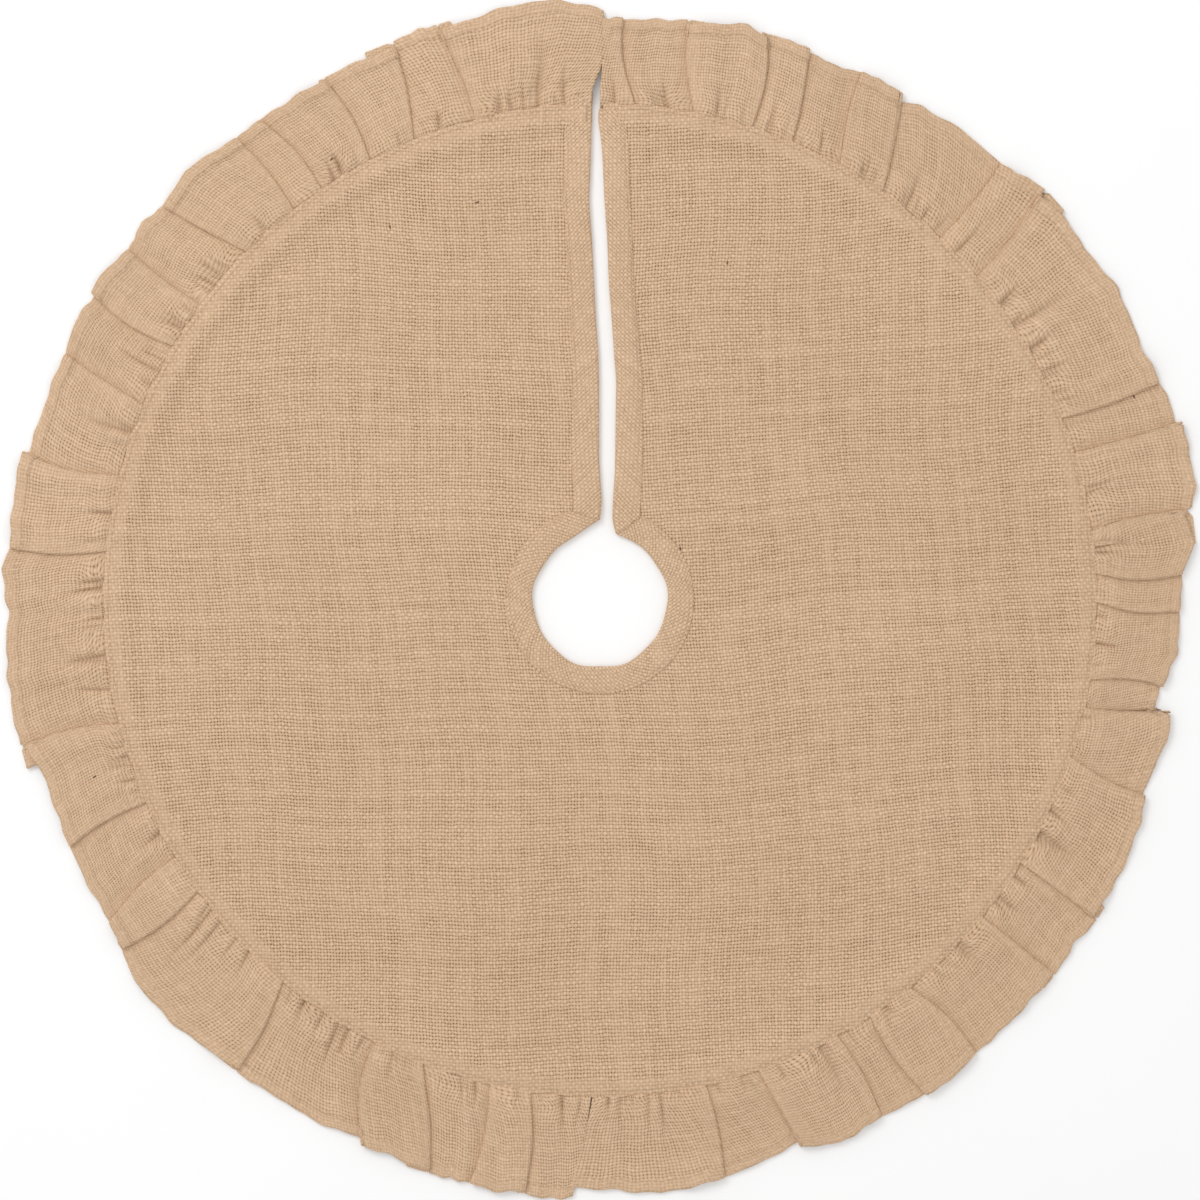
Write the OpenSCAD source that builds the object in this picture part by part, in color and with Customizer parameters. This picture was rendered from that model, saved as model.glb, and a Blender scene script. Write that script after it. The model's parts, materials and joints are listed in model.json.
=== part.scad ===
// Round burlap tree skirt lying flat: a disc panel with a trunk hole and one slit, a folded bias
// binding round both, and a gathered ruffle of two pleated strips sewn to the panel's edge.
// Millimetres. +Z is up, the slit runs towards +Y, and the origin is the centre of the trunk hole
// on the surface that the skirt lies on. The cloth is divided along the fold line y = 0, so the two
// flaps beside the slit turn over separately.

/* [Panel] */
// Radius of the seam where the panel meets the ruffle
seam_r = 222; // [200:1:235]
// Thickness of one layer of burlap
cloth_t = 1.0; // [0.8:0.1:1.2]

/* [Trunk hole and slit] */
// Radius of the trunk hole inside its binding
hole_r = 30; // [24:1:40]
// Width of the open slit
slit_w = 7; // [6:0.5:10]
// Sideways place of the slit's middle line at the hole's centre
slit_x = 3.4; // [0:0.1:5]
// Lean of the slit away from +Y, towards -X, in degrees
slit_lean = 1.2; // [0:0.1:1.5]

/* [Binding] */
// Width of the folded binding strip
binding_w = 11.5; // [9:0.5:14]
// Thickness of one layer of the binding
binding_t = 0.9; // [0.7:0.1:1.1]

/* [Ruffle] */
// Average outer radius of the ruffle
ruffle_r = 266; // [260:1:275]
// Height of the highest pleat
pleat_top = 5.5; // [4.5:0.1:6.5]
// Number of pleats in each quarter of the ruffle
pleats = 16; // [10:1:20]
// Width of the gathered heading that is turned in under the panel
heading_w = 8; // [6:0.5:10]
// Direction, in degrees from +X, of the seam that joins the two ruffle strips
join_angle = 268.5; // [265:0.5:275]

/* [Thread] */
// Width of a laid stitch line
thread_w = 0.5; // [0.4:0.05:0.7]
// Height of a laid stitch line
thread_t = 0.3; // [0.2:0.05:0.4]

/* [Fold] */
// Gap between pieces that turn on different bodies
fold_gap = 0.5; // [0.3:0.1:0.8]

/* [Hidden] */
$fn = 180;

burlap = [0.79, 0.67, 0.54];
burlap_ruffle = [0.76, 0.64, 0.51];
burlap_binding = [0.73, 0.60, 0.47];
thread_colour = [0.84, 0.73, 0.60];
overlock_colour = [0.88, 0.80, 0.68];

panel_low = binding_t;                    // underside of the panel
panel_top = panel_low + cloth_t;
binding_top = panel_top + binding_t;
ring_r = hole_r + binding_w;              // outer edge of the binding round the hole
tuck = 1.5;                               // solid fold at the binding's edge
heading_r = seam_r - heading_w;
gathering_t = 0.4;                        // thread laid between the heading and the panel
heading_t = panel_low - gathering_t;
stitch_in = 1.2;                          // stitch line's distance from a binding's edge
hem_w = 4.5;                              // depth of the turned hem
hem_t = 1.6;
seam_clear = 0.4;                         // ruffle's body clear of the panel's cut edge
seat_clear = 0.05;                        // between curved faces that meet in one body
face_steps = 3;                           // flat steps across one pleat
hem_lift = 0.45;                          // the hem's stitch line above the pleats it crosses
pleat_drop = 0.35;                        // degrees that a pleat's folded edge takes to fall
ruffle_gap = 0.2;                         // degrees between the two ruffle ends over the slit
ruffle_end = 89.75;                       // direction of the left ruffle's end over the slit
join_gap = 0.12;                          // degrees between the strips at their joining seam
fold_degrees = asin(fold_gap / 2 / heading_r);
far = 400;                                // a length past every edge
deep = 20;                                // a height past every face

// The region of one body: 0 is the rear half, 1 the flap left of the slit, 2 the flap right of it.
// inset moves the region's edge away from the slit's middle line.
module region(body, inset) {
  if (body == 0)
    translate([-far, -far - fold_gap / 2, -deep / 2]) cube([2 * far, far, deep]);
  else
    intersection() {
      translate([-far, fold_gap / 2, -deep / 2]) cube([2 * far, far, deep]);
      along_slit() translate([body == 1 ? -far - inset : inset, -far, -deep / 2])
        cube([far, 2 * far, deep]);
    }
}

// Children drawn in the slit's own frame, its middle line on +Y
module along_slit() {
  translate([slit_x, 0, 0]) rotate([0, 0, slit_lean]) children();
}

// A flat ring of rectangular section, between two radii and two heights
module ring(r_in, r_out, z_low, z_high) {
  rotate_extrude() translate([r_in, z_low]) square([r_out - r_in, z_high - z_low]);
}

// The folded binding's section: a C that opens away from its folded edge at x = 0
module binding_section() {
  polygon([[0, 0], [binding_w, 0], [binding_w, panel_low], [tuck, panel_low],
    [tuck, panel_top], [binding_w, panel_top], [binding_w, binding_top], [0, binding_top]]);
}

module panel(body) {
  color(burlap) intersection() {
    ring(hole_r + tuck, seam_r, panel_low, panel_top);
    region(body, slit_w / 2 + tuck);
  }
}

module hole_binding(body) {
  color(burlap_binding) intersection() {
    rotate_extrude() translate([hole_r, 0]) binding_section();
    region(body, slit_w / 2);
  }
}

// One side of the slit, from the hole's binding to the seam; side is -1 left and 1 right
module slit_binding(side) {
  color(burlap_binding) intersection() {
    difference() {
      along_slit() mirror([side < 0 ? 1 : 0, 0, 0]) translate([slit_w / 2, far, 0])
        rotate([90, 0, 0]) linear_extrude(far) binding_section();
      translate([0, 0, -deep / 2]) cylinder(r = ring_r + seat_clear, h = deep);
      ring(heading_r - seam_clear, far, -deep / 2, panel_low);
    }
    translate([0, 0, -deep / 2]) cylinder(r = seam_r, h = deep);
  }
}

// The stitch line along the binding's outer edge, round the hole and up the slit
module binding_thread(body) {
  color(thread_colour) {
    intersection() {
      ring(ring_r - stitch_in - thread_w, ring_r - stitch_in, binding_top, binding_top + thread_t);
      region(body, slit_w / 2 + binding_w - stitch_in);
    }
    if (body > 0)
      intersection() {
        ring(ring_r - stitch_in - thread_w, seam_r - stitch_in, binding_top, binding_top + thread_t);
        along_slit() mirror([body == 1 ? 1 : 0, 0, 0])
          translate([slit_w / 2 + binding_w - stitch_in - thread_w, 0, 0])
          cube([thread_w, far, deep]);
      }
  }
}

// The top stitching on the panel, just inside the seam; it stops short of the slit's binding
module seam_thread(body) {
  color(thread_colour) intersection() {
    ring(seam_r - stitch_in - thread_w, seam_r - stitch_in, panel_top, panel_top + thread_t);
    region(body, slit_w / 2 + binding_w + seam_clear);
  }
}

// The thread that draws the heading into gathers, laid between the heading and the panel
module gathering_thread(body) {
  color(thread_colour) intersection() {
    ring(heading_r + heading_w / 2, heading_r + heading_w / 2 + thread_w, heading_t, panel_low);
    region(body, slit_w / 2 + tuck);
  }
}

// The overlocked edge of the seam allowance, under the panel
module overlock_thread(body) {
  color(overlock_colour) intersection() {
    ring(heading_r - thread_w - 2 * seat_clear, heading_r - 2 * seat_clear, 0, heading_t);
    region(body, slit_w / 2 + binding_w + tuck);
  }
}

// Pleats. Each is flat-topped cloth that rises to a folded edge and then drops to the next one.
function jitter(i) = sin(137.5 * i + 40);                          // an uneven spread, -1 to 1
function foot(a0, a1, i) =                                         // where pleat i starts
  a0 + (a1 - a0) * (i + (i > 0 && i < pleats ? 0.28 * jitter(i) : 0)) / pleats;
function turned(i) = jitter(3 * i + 1) > 0.2 ? 1 : 0;              // which way pleat i is folded
function fullness(i) = 0.62 + 0.38 * abs(jitter(2 * i + 5));       // how high pleat i stands
function rise(i, late) = turned(i) == 1 ? 1 - late : late;            // 0 at the low side, 1 at the fold
function station(a0, a1, i, late) = [
  foot(a0, a1, i) * (1 - late) + (foot(a0, a1, i + 1) - pleat_drop) * late,
  fullness(i) * rise(i, late),
  ruffle_r + 2.6 * sin(foot(a0, a1, i) * 5) + 1.4 * jitter(i) + 2.2 * rise(i, late) - 1];
function stations(a0, a1) = concat(
  [for (i = [0 : pleats - 1], step = [0 : face_steps]) station(a0, a1, i, step / face_steps)],
  [[a1, 0, ruffle_r]]);

// The ruffle's section at one station: heading, flat underside, hem and crown
function crown(up, share) = panel_top + share * up * (pleat_top - panel_top);
function ruffle_section(up, r_out) = [
  [heading_r, 0], [r_out, 0], [r_out, hem_t], [r_out - hem_w / 2, crown(up, 0.45)],
  [r_out - 3 * hem_w, crown(up, 0.92)], [seam_r + 3 * hem_w, crown(up, 1)],
  [seam_r + seam_clear, crown(up, 0.1)], [seam_r + seam_clear, heading_t],
  [heading_r, heading_t]];

// The hem's stitch line, a square thread laid over the pleats near the outer edge
function hem_share(r_in) = let(first = hem_w / 2, last = 3 * hem_w)
  0.45 + (0.92 - 0.45) * (r_in - first) / (last - first);
function hem_section(up, r_out) = let(
  z = crown(up, hem_share(hem_w)) + hem_lift)
  [[r_out - hem_w - thread_w, z], [r_out - hem_w, z], [r_out - hem_w, z + thread_t],
   [r_out - hem_w - thread_w, z + thread_t]];

// A closed solid that carries sections along an arc of stations, each [angle, up, outer radius]
module arc_sweep(sections, angles) {
  n = len(sections[0]);
  m = len(sections);
  points = [for (s = [0 : m - 1], p = sections[s]) [p[0] * cos(angles[s]), p[0] * sin(angles[s]), p[1]]];
  sides = [for (s = [0 : m - 2], k = [0 : n - 1]) let(
    a = s * n + k, b = s * n + (k + 1) % n, c = a + n, d = b + n)
    each [[a, c, b], [b, c, d]]];
  first = [[for (k = [0 : n - 1]) k]];
  last = [[for (k = [n - 1 : -1 : 0]) (m - 1) * n + k]];
  polyhedron(points = points, faces = concat(sides, first, last), convexity = 8);
}

module ruffle(a0, a1) {
  spots = stations(a0, a1);
  color(burlap_ruffle)
    arc_sweep([for (s = spots) ruffle_section(s[1], s[2])], [for (s = spots) s[0]]);
}

module hem_thread(a0, a1) {
  spots = stations(a0, a1);
  color(thread_colour)
    arc_sweep([for (s = spots) hem_section(s[1], s[2])], [for (s = spots) s[0]]);
}

// The thread of the seam that joins the two ruffle strips, between their ends
module join_thread() {
  wide = 0.3;
  color(thread_colour) rotate([0, 0, join_angle]) translate([seam_r + 2, -wide / 2, 0])
    cube([ruffle_r - seam_r - 4, wide, panel_top]);
}

// The arcs of the four ruffle pieces, from start to end direction
left_arc = [ruffle_end, 180 - fold_degrees];
rear_left_arc = [180 + fold_degrees, join_angle - join_gap];
rear_right_arc = [join_angle + join_gap, 360 - fold_degrees];
right_arc = [fold_degrees, ruffle_end - ruffle_gap];

panel(0);  // rear_panel
hole_binding(0);  // rear_hole_binding
ruffle(rear_left_arc[0], rear_left_arc[1]);  // rear_left_ruffle
ruffle(rear_right_arc[0], rear_right_arc[1]);  // rear_right_ruffle
join_thread();  // ruffle_join_thread
binding_thread(0);  // rear_binding_thread
seam_thread(0);  // rear_seam_thread
gathering_thread(0);  // rear_gathering_thread
overlock_thread(0);  // rear_overlock_thread
hem_thread(rear_left_arc[0], rear_left_arc[1]);  // rear_left_hem_thread
hem_thread(rear_right_arc[0], rear_right_arc[1]);  // rear_right_hem_thread
panel(1);  // left_panel
hole_binding(1);  // left_hole_binding
slit_binding(-1);  // left_slit_binding
ruffle(left_arc[0], left_arc[1]);  // left_ruffle
binding_thread(1);  // left_binding_thread
seam_thread(1);  // left_seam_thread
gathering_thread(1);  // left_gathering_thread
overlock_thread(1);  // left_overlock_thread
hem_thread(left_arc[0], left_arc[1]);  // left_hem_thread
panel(2);  // right_panel
hole_binding(2);  // right_hole_binding
slit_binding(1);  // right_slit_binding
ruffle(right_arc[0], right_arc[1]);  // right_ruffle
binding_thread(2);  // right_binding_thread
seam_thread(2);  // right_seam_thread
gathering_thread(2);  // right_gathering_thread
overlock_thread(2);  // right_overlock_thread
hem_thread(right_arc[0], right_arc[1]);  // right_hem_thread
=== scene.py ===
import json
import math
import bpy
import numpy as np
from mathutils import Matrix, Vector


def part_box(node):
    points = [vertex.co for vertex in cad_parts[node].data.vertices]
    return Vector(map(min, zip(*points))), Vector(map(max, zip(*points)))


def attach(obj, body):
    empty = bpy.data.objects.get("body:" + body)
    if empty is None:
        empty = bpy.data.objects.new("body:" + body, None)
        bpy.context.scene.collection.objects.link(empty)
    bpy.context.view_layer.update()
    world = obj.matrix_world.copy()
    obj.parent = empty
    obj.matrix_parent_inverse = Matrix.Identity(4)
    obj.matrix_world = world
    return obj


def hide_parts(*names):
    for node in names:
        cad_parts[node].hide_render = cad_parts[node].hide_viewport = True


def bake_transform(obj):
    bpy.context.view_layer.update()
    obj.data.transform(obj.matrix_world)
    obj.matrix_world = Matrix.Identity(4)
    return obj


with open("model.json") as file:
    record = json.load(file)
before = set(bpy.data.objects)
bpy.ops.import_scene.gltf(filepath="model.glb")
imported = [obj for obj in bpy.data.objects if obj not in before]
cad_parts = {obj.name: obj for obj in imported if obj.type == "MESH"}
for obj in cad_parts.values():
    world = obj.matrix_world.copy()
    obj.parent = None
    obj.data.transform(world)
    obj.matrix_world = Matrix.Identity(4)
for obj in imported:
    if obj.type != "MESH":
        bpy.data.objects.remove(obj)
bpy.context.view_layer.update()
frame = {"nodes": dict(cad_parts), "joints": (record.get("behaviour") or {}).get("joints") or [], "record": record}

print("frame loaded:", len(frame["nodes"]), "nodes")

# Shapes are worked out in millimetres and turned into metres when a mesh is made.
mm = 0.001
scene = bpy.context.scene
scene.view_settings.view_transform = "Standard"
randomSeed = 2108


def frameMm(node, corner, axis):
    # One side of a node's box: corner 0 is the low one and 1 the high one
    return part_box(node)[corner][axis] / mm


# What the frame settles for every piece
skirt = {
    "seamRadius": frameMm("rear_panel", 1, 0),
    "holeRadius": frame["record"]["mounts"][0]["dims"]["r_mm"],
    "ringRadius": frameMm("rear_hole_binding", 1, 0),
    "headingRadius": frameMm("rear_overlock_thread", 1, 0),
    "foldReach": 24.0,       # cloth on each side of the fold line that bends with it
    "highest": frame["joints"][0]["pos_m"][2] / mm - 0.3,
}


def smoothStep(low, high, x):
    # 0 below low, 1 above high, and 3t^2 - 2t^3 between them
    t = np.clip((x - low) / (high - low), 0, 1)
    return t * t * (3 - 2 * t)


def bell(x, width):
    # e to the minus (x / width) squared
    return np.exp(-(x / width) ** 2)


def unit(vectors):
    # Each vector divided by its length
    return vectors / np.maximum(np.linalg.norm(vectors, axis=-1, keepdims=True), 1e-9)


def makeMesh(name, points, quads, flatFaces=None, weaveMap=None):
    # points in millimetres, quads as rows of four point numbers, weaveMap one vector a point
    mesh = bpy.data.meshes.new(name)
    mesh.vertices.add(len(points))
    mesh.vertices.foreach_set("co", (points * mm).astype(np.float32).ravel())
    mesh.loops.add(quads.size)
    mesh.loops.foreach_set("vertex_index", quads.astype(np.int32).ravel())
    mesh.polygons.add(len(quads))
    mesh.polygons.foreach_set("loop_start", np.arange(0, quads.size, 4, dtype=np.int32))
    smooth = np.ones(len(quads), bool) if flatFaces is None else ~flatFaces
    mesh.polygons.foreach_set("use_smooth", smooth)
    if weaveMap is not None:
        layer = mesh.attributes.new("weaveMap", "FLOAT_VECTOR", "POINT")
        layer.data.foreach_set("vector", weaveMap.astype(np.float32).ravel())
    mesh.update(calc_edges=True)
    mesh.validate()
    piece = bpy.data.objects.new(name, mesh)
    scene.collection.objects.link(piece)
    return piece


def clothShell(name, middle, thickness, weaveMap, rounding=(1, 1, 1, 1)):
    # Cloth of real thickness. Each side is the middle surface moved half the thickness along its own
    # normal, and a rounded rim joins the two sides all the way round. rounding is how far the rim
    # bulges at the first and last row and the first and last column.
    along = unit(np.gradient(middle, axis=0))
    across = unit(np.gradient(middle, axis=1))
    normal = unit(np.cross(across, along))
    half = thickness[..., None] / 2
    rows, columns = middle.shape[:2]
    outward = np.zeros_like(middle)
    outward[0] -= along[0] * rounding[0]
    outward[-1] += along[-1] * rounding[1]
    outward[:, 0] -= across[:, 0] * rounding[2]
    outward[:, -1] += across[:, -1] * rounding[3]
    number = np.arange(rows * columns).reshape(rows, columns)
    edge = np.concatenate([number[:-1, 0], number[-1, :-1], number[:0:-1, -1], number[0, :0:-1]])
    side = np.concatenate([np.full(rows - 1, 2), np.full(columns - 1, 1),
                           np.full(rows - 1, 3), np.full(columns - 1, 0)])
    rim = (middle + outward * half).reshape(-1, 3)[edge]
    points = np.concatenate([(middle + normal * half).reshape(-1, 3),
                             (middle - normal * half).reshape(-1, 3), rim])
    upper = np.stack([number[:-1, :-1], number[:-1, 1:], number[1:, 1:], number[1:, :-1]], -1).reshape(-1, 4)
    lower = upper[:, ::-1] + rows * columns
    near, far = edge, np.roll(edge, -1)
    rimNear = 2 * rows * columns + np.arange(len(edge))
    rimFar = np.roll(rimNear, -1)
    rimTop = np.stack([near, far, rimFar, rimNear], -1)
    rimBottom = np.stack([rimNear, rimFar, far + rows * columns, near + rows * columns], -1)
    flatEdge = np.array(rounding)[side] == 0
    flat = np.concatenate([np.zeros(2 * len(upper), bool), flatEdge, flatEdge])
    flatMap = weaveMap.reshape(-1, 3)
    return makeMesh(name, points, np.concatenate([upper, lower, rimTop, rimBottom]), flat,
                    np.concatenate([flatMap, flatMap, flatMap[edge]]))


def tubeMesh(name, centres, sideways, upward, radii):
    # Closed six-sided tubes. centres, sideways, upward are (tubes, stations, 3); radii is (tubes, stations).
    tubes, stations = radii.shape
    turn = np.arange(6) * math.pi / 3
    ring = (np.cos(turn)[:, None] * sideways[:, :, None] + np.sin(turn)[:, None] * upward[:, :, None])
    points = centres[:, :, None] + ring * radii[:, :, None, None]
    number = np.arange(tubes * stations * 6).reshape(tubes, stations, 6)
    step = np.roll(number, -1, axis=2)
    walls = np.stack([number[:, :-1], step[:, :-1], step[:, 1:], number[:, 1:]], -1).reshape(-1, 4)
    first, last = number[:, 0], number[:, -1]
    caps = [first[:, [3, 2, 1, 0]], first[:, [5, 4, 3, 0]],
            last[:, [0, 1, 2, 3]], last[:, [0, 3, 4, 5]]]
    return makeMesh(name, points.reshape(-1, 3), np.concatenate([walls] + caps))


def alongPath(path, places):
    # Points on a path at the given distances from its start, by straight interpolation
    lengths = np.concatenate([[0], np.cumsum(np.linalg.norm(np.diff(path, axis=0), axis=1))])
    return np.stack([np.interp(places, lengths, path[:, k]) for k in range(path.shape[1])], -1), lengths[-1]


def stitchRow(name, path, normals, stitch):
    # Separate stitches: each rises out of the cloth, bows over it, and goes down again
    length = alongPath(path, [0])[1]
    starts = np.arange(stitch["pitch"] / 2, length - stitch["pitch"], stitch["pitch"])
    share = np.linspace(0, 1, 7)
    places = starts[:, None] + share * stitch["pitch"] * stitch["fill"]
    centres = alongPath(path, places.ravel())[0].reshape(len(starts), 7, 3)
    lifts = alongPath(np.concatenate([path, normals], 1), places.ravel())[0][:, 3:]
    lifts = unit(lifts).reshape(centres.shape)
    tangent = unit(np.gradient(centres, axis=1))
    bow = stitch["sink"] + (stitch["bow"] - stitch["sink"]) * np.sin(share * math.pi) ** 0.7
    centres = centres + lifts * bow[:, None]
    radii = np.tile(stitch["radius"] * (0.45 + 0.55 * np.sin(share * math.pi) ** 0.5), (len(starts), 1))
    return tubeMesh(name, centres, np.cross(tangent, lifts), lifts, radii)


def looseThread(name, path, radius):
    # One tube along the path, level across
    tangent = unit(np.gradient(path, axis=0))
    sideways = unit(np.cross(tangent, np.array([0.0, 0.0, 1.0])))
    upward = np.cross(sideways, tangent)
    return tubeMesh(name, path[None], sideways[None], upward[None], np.full((1, len(path)), radius))


def ripple(x, y, terms):
    # A sum of sine waves; each term is amplitude, wavelength, direction in degrees and phase
    total = np.zeros(np.broadcast(x, y).shape)
    for amplitude, wavelength, direction, phase in terms:
        heading = math.radians(direction)
        total += amplitude * np.sin(
            2 * math.pi * ((x * math.cos(heading) + y * math.sin(heading)) / wavelength + phase))
    return total


def calc(tree, operation, first, second=None, third=None):
    # A Math node; each value is a number or another node's output
    node = tree.nodes.new("ShaderNodeMath")
    node.operation = operation
    for socket, value in zip(node.inputs, (first, second, third)):
        if value is None:
            continue
        if isinstance(value, (int, float)):
            socket.default_value = value
        else:
            tree.links.new(value, socket)
    return node.outputs[0]


def combine(tree, x, y, z=0.0):
    node = tree.nodes.new("ShaderNodeCombineXYZ")
    for socket, value in zip(node.inputs, (x, y, z)):
        if isinstance(value, (int, float)):
            socket.default_value = value
        else:
            tree.links.new(value, socket)
    return node.outputs[0]


def noise(tree, vector, scale, detail=1.0, roughness=0.5):
    # Smooth noise from 0 to 1
    node = tree.nodes.new("ShaderNodeTexNoise")
    node.inputs["Scale"].default_value = scale
    node.inputs["Detail"].default_value = detail
    node.inputs["Roughness"].default_value = roughness
    tree.links.new(vector, node.inputs["Vector"])
    return node.outputs["Fac"]


def threadValue(tree, number, shift):
    # One chance value from 0 to 1 for each thread number
    node = tree.nodes.new("ShaderNodeTexWhiteNoise")
    node.noise_dimensions = "1D"
    tree.links.new(calc(tree, "ADD", number, shift), node.inputs["W"])
    return node.outputs["Value"]


def spread(tree, value, low, high):
    # A 0 to 1 value carried to low to high
    return calc(tree, "MULTIPLY_ADD", value, high - low, low)


def colourMix(tree, share, first, second):
    # first at share 0 and second at share 1; each is a colour or another node's output
    node = tree.nodes.new("ShaderNodeMix")
    node.data_type = "RGBA"
    tree.links.new(share, node.inputs["Factor"])
    for name, value in ((6, first), (7, second)):
        if isinstance(value, tuple):
            node.inputs[name].default_value = (*value, 1)
        else:
            tree.links.new(value, node.inputs[name])
    return node.outputs[2]


def newMaterial(name, roughness, sheen, sheenTint):
    material = bpy.data.materials.new(name)
    material.use_nodes = True
    shader = material.node_tree.nodes["Principled BSDF"]
    shader.inputs["Roughness"].default_value = roughness
    shader.inputs["Specular IOR Level"].default_value = 0.05
    shader.inputs["Sheen Weight"].default_value = sheen
    shader.inputs["Sheen Roughness"].default_value = 0.6
    shader.inputs["Sheen Tint"].default_value = (*sheenTint, 1)
    return material, material.node_tree, shader


weave = {
    "pitchAcross": 1.40,     # millimetres from one upright thread to the next
    "pitchUp": 1.57,
    "halfWidth": 0.39,       # half a thread's width, as a share of its pitch
    "threadSpread": 0.07,
    "slubSpread": 0.135,
    "closing": 0.09,        # how much wider the threads are where the cloth is packed or backed
    # The next two colours are painted into the weave's holes: a deep brown painted shade where nothing backs the
    # cloth, and the backing cloth's brown darkened by painted shade where it is backed
    "gapShadeColour": (0.155, 0.064, 0.019),
    "backedGapShadeColour": (0.33, 0.188, 0.088),
    "darkColour": (0.325, 0.183, 0.081),
    "lightColour": (0.792, 0.571, 0.391),
    "bump": 0.00036,
    "crooked": 0.4,          # how far a thread wanders, as a share of its pitch
    "threadTone": 0.03,      # tone: how far threads, fibres, slubs, patches and grain differ
    "fibreTone": 0.16,
    "slubTone": 0.11,
    "patchTone": 0.07,
    "grainTone": 0.30,
    # Painted shade in the weave's dips: how much darker the dips are painted, and how much less so where packed
    "dipShade": 0.46,        # how much darker the dips are, and how much less so where packed
    "packedDipShade": -0.20,
}


def burlapMaterial(name, acrossTone, alongTone, tightness=0.0, scale=1.0):
    # Plain weave. Each thread is a rounded ridge that goes over and under the crossing ones as a
    # cosine, each has its own width and tone, and slubs thicken it here and there. The dips are
    # darkened with painted shade, and the gaps are painted shade too: deep brown where nothing backs
    # the cloth, and the backing cloth's brown in shade where it is backed. weaveMap gives millimetres
    # across and along the cloth, and how far it is backed.
    material, tree, shader = newMaterial(name, 0.95, 0.02, (0.95, 0.85, 0.72))
    place = tree.nodes.new("ShaderNodeAttribute")
    place.attribute_name = "weaveMap"
    split = tree.nodes.new("ShaderNodeSeparateXYZ")
    tree.links.new(place.outputs["Vector"], split.inputs[0])
    x, y, backed = split.outputs
    flat = combine(tree, x, y)
    tight = calc(tree, "ADD", backed, tightness)
    unevenly = spread(tree, noise(tree, flat, 0.05, 2), -0.25, 0.25)
    packed = calc(tree, "MINIMUM", calc(tree, "ADD", tight, unevenly), 1.0)
    closing = calc(tree, "MULTIPLY", packed, weave["closing"])
    crooked = weave["crooked"]
    crookedX = spread(tree, noise(tree, flat, 0.22, 2), -crooked, crooked)
    crookedY = spread(tree, noise(tree, combine(tree, y, x, 9.0), 0.22, 2), -crooked, crooked)
    u = calc(tree, "ADD", calc(tree, "MULTIPLY", x, scale / weave["pitchAcross"]), crookedX)
    v = calc(tree, "ADD", calc(tree, "MULTIPLY", y, scale / weave["pitchUp"]), crookedY)
    ridges, tones = [], []
    for own, crossing, shift, ownTone in ((u, v, 0.37, acrossTone), (v, u, 71.9, alongTone)):
        number = calc(tree, "FLOOR", own)
        offset = calc(tree, "SUBTRACT", calc(tree, "SUBTRACT", own, number), 0.5)
        value = threadValue(tree, number, shift)
        slub = noise(tree, combine(tree, calc(tree, "MULTIPLY", number, 5.3),
                                   calc(tree, "MULTIPLY", crossing, 0.11), shift), 1.0, 2)
        thin = weave["halfWidth"] - weave["threadSpread"] / 2
        width = spread(tree, value, thin, thin + weave["threadSpread"])
        thicker = spread(tree, slub, -weave["slubSpread"], weave["slubSpread"])
        width = calc(tree, "ADD", calc(tree, "ADD", width, thicker), closing)
        across = calc(tree, "DIVIDE", offset, width)
        squared = calc(tree, "MULTIPLY", across, across)
        dome = calc(tree, "MAXIMUM", calc(tree, "SUBTRACT", 1.0, squared), 0.0)
        turns = calc(tree, "ADD", calc(tree, "SUBTRACT", crossing, 0.5), number)
        phase = calc(tree, "MULTIPLY", turns, math.pi)
        sway = calc(tree, "MULTIPLY", calc(tree, "COSINE", phase), 0.5 if shift < 1 else -0.5)
        present = calc(tree, "GREATER_THAN", dome, 0.0)
        ridge = calc(tree, "MULTIPLY_ADD", calc(tree, "SQRT", dome), 0.9, sway)
        ridges.append(calc(tree, "MULTIPLY_ADD", calc(tree, "SUBTRACT", 1.0, present), -3.0, ridge))
        stretched = combine(tree, calc(tree, "MULTIPLY", own, 7.0),
                            calc(tree, "MULTIPLY", crossing, 0.8), shift)
        fibre = noise(tree, stretched, 1.0, 2, 0.7)
        tone = spread(tree, value, ownTone - weave["threadTone"], ownTone + weave["threadTone"])
        tone = calc(tree, "ADD", tone, spread(tree, fibre, -weave["fibreTone"], weave["fibreTone"]))
        tones.append(calc(tree, "ADD", tone, spread(tree, slub, -weave["slubTone"], weave["slubTone"])))
    onTop = calc(tree, "GREATER_THAN", ridges[0], ridges[1])
    height = calc(tree, "MAXIMUM", calc(tree, "MAXIMUM", ridges[0], ridges[1]), -0.7)
    gap = calc(tree, "LESS_THAN", height, -0.6)
    tone = calc(tree, "ADD", calc(tree, "MULTIPLY", onTop, tones[0]),
                calc(tree, "MULTIPLY", calc(tree, "SUBTRACT", 1.0, onTop), tones[1]))
    # Painted shade: the dips between the crossings are painted darker than the tops. Where the threads are packed
    # close, the dips between them are shallow and less darkened
    dipShade = calc(tree, "MULTIPLY_ADD", packed, weave["packedDipShade"], weave["dipShade"])
    shade = calc(tree, "MULTIPLY_ADD", calc(tree, "SUBTRACT", height, 0.86), dipShade, 0.40)
    patches = spread(tree, noise(tree, flat, 0.012, 2), -weave["patchTone"], weave["patchTone"])
    grain = spread(tree, noise(tree, combine(tree, u, v, 4.0), 1.3, 2, 0.6),
                   -weave["grainTone"], weave["grainTone"])
    tone = calc(tree, "ADD", calc(tree, "ADD", calc(tree, "ADD", tone, shade), patches), grain)
    thread = colourMix(tree, tone, weave["darkColour"], weave["lightColour"])
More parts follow.
